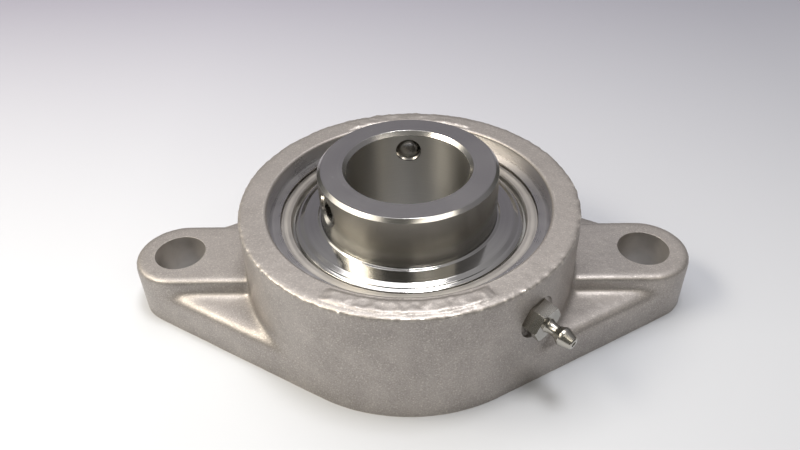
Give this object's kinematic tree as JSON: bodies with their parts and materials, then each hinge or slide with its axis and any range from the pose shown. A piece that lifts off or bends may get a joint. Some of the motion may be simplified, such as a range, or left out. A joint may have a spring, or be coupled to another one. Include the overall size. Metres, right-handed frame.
{
  "type": "two-bolt flange bearing",
  "caption": "Rhombic cast stainless flange housing with a self-aligning ball bearing insert, set screws on its long inner ring and a grease nipple.",
  "frame": {"origin": "centre of the mounting face, on the shaft axis", "axes": "+Z along the shaft axis away from the mounting face, +X through the two bolt holes"},
  "size_m": [0.155, 0.09, 0.0444],
  "materials": {
    "cast_stainless": "investment cast and blasted stainless steel, matt warm grey",
    "ground_steel": "finely ground stainless bearing steel",
    "polished_steel": "bright stamped stainless sheet",
    "ball_steel": "polished bearing balls",
    "cage_steel": "stamped stainless sheet",
    "seal_rubber": "black nitrile rubber",
    "screw_steel": "dark stainless screws and spring wire",
    "nipple_plate": "bright plated grease nipple"
  },
  "bodies": {
    "housing": {"housing": "cast_stainless", "grease_nipple": "nipple_plate", "nipple_spring": "screw_steel"},
    "outer_ring": {"outer_ring": "ground_steel", "front_seal_shield": "cage_steel", "front_seal_lip": "seal_rubber", "rear_seal_shield": "cage_steel", "rear_seal_lip": "seal_rubber"},
    "inner_ring": {"inner_ring": "ground_steel", "front_flinger": "polished_steel", "rear_flinger": "polished_steel"},
    "cage": {"cage_front": "cage_steel", "cage_rear": "cage_steel", "cage_rivets": "cage_steel"},
    "ball_1": {"ball_1": "ball_steel"},
    "ball_2": {"ball_2": "ball_steel"},
    "ball_3": {"ball_3": "ball_steel"},
    "ball_4": {"ball_4": "ball_steel"},
    "ball_5": {"ball_5": "ball_steel"},
    "ball_6": {"ball_6": "ball_steel"},
    "ball_7": {"ball_7": "ball_steel"},
    "ball_8": {"ball_8": "ball_steel"},
    "ball_9": {"ball_9": "ball_steel"},
    "set_screw_back": {"set_screw_back": "screw_steel"},
    "set_screw_left": {"set_screw_left": "screw_steel"},
    "nipple_check_ball": {"nipple_check_ball": "ball_steel"}
  },
  "joints": [
    {"name": "seat_tilt", "type": "hinge", "parent": "housing", "child": "outer_ring", "pos_m": [0, 0, 0.019], "axis": [1, 0, 0], "range_deg": [-2, 2]},
    {"name": "shaft_spin", "type": "hinge", "parent": "outer_ring", "child": "inner_ring", "pos_m": [0, 0, 0.019], "axis": [0, 0, 1], "continuous": true},
    {"name": "cage_orbit", "type": "hinge", "parent": "outer_ring", "child": "cage", "pos_m": [0, 0, 0.019], "axis": [0, 0, 1], "continuous": true},
    {"name": "ball_1_roll", "type": "hinge", "parent": "cage", "child": "ball_1", "pos_m": [0.02675, 0, 0.019], "axis": [0, 0, 1], "continuous": true},
    {"name": "ball_2_roll", "type": "hinge", "parent": "cage", "child": "ball_2", "pos_m": [0.02049, 0.01719, 0.019], "axis": [0, 0, 1], "continuous": true},
    {"name": "ball_3_roll", "type": "hinge", "parent": "cage", "child": "ball_3", "pos_m": [0.00465, 0.02634, 0.019], "axis": [0, 0, 1], "continuous": true},
    {"name": "ball_4_roll", "type": "hinge", "parent": "cage", "child": "ball_4", "pos_m": [-0.01337, 0.02317, 0.019], "axis": [0, 0, 1], "continuous": true},
    {"name": "ball_5_roll", "type": "hinge", "parent": "cage", "child": "ball_5", "pos_m": [-0.02514, 0.00915, 0.019], "axis": [0, 0, 1], "continuous": true},
    {"name": "ball_6_roll", "type": "hinge", "parent": "cage", "child": "ball_6", "pos_m": [-0.02514, -0.00915, 0.019], "axis": [0, 0, 1], "continuous": true},
    {"name": "ball_7_roll", "type": "hinge", "parent": "cage", "child": "ball_7", "pos_m": [-0.01337, -0.02317, 0.019], "axis": [0, 0, 1], "continuous": true},
    {"name": "ball_8_roll", "type": "hinge", "parent": "cage", "child": "ball_8", "pos_m": [0.00465, -0.02634, 0.019], "axis": [0, 0, 1], "continuous": true},
    {"name": "ball_9_roll", "type": "hinge", "parent": "cage", "child": "ball_9", "pos_m": [0.02049, -0.01719, 0.019], "axis": [0, 0, 1], "continuous": true},
    {"name": "set_screw_back_drive", "type": "slide", "parent": "inner_ring", "child": "set_screw_back", "axis": [0, -1, 0], "range_m": [-0.002, 0.0012]},
    {"name": "set_screw_left_drive", "type": "slide", "parent": "inner_ring", "child": "set_screw_left", "axis": [0.866, 0.5, 0], "range_m": [-0.002, 0.0012]},
    {"name": "check_ball_lift", "type": "slide", "parent": "housing", "child": "nipple_check_ball", "axis": [-0.6846, 0.7214, 0.1045], "range_m": [0, 0.0012], "stiffness_N_per_m": 300, "springref_m": -0.001, "deforming": ["nipple_spring"]}
  ],
  "couplings": [
    {"joint": "cage_orbit", "follows": "shaft_spin", "ratio": 0.39615},
    {"joint": "ball_1_roll", "follows": "shaft_spin", "ratio": -2.3035},
    {"joint": "ball_2_roll", "follows": "shaft_spin", "ratio": -2.3035},
    {"joint": "ball_3_roll", "follows": "shaft_spin", "ratio": -2.3035},
    {"joint": "ball_4_roll", "follows": "shaft_spin", "ratio": -2.3035},
    {"joint": "ball_5_roll", "follows": "shaft_spin", "ratio": -2.3035},
    {"joint": "ball_6_roll", "follows": "shaft_spin", "ratio": -2.3035},
    {"joint": "ball_7_roll", "follows": "shaft_spin", "ratio": -2.3035},
    {"joint": "ball_8_roll", "follows": "shaft_spin", "ratio": -2.3035},
    {"joint": "ball_9_roll", "follows": "shaft_spin", "ratio": -2.3035}
  ]
}
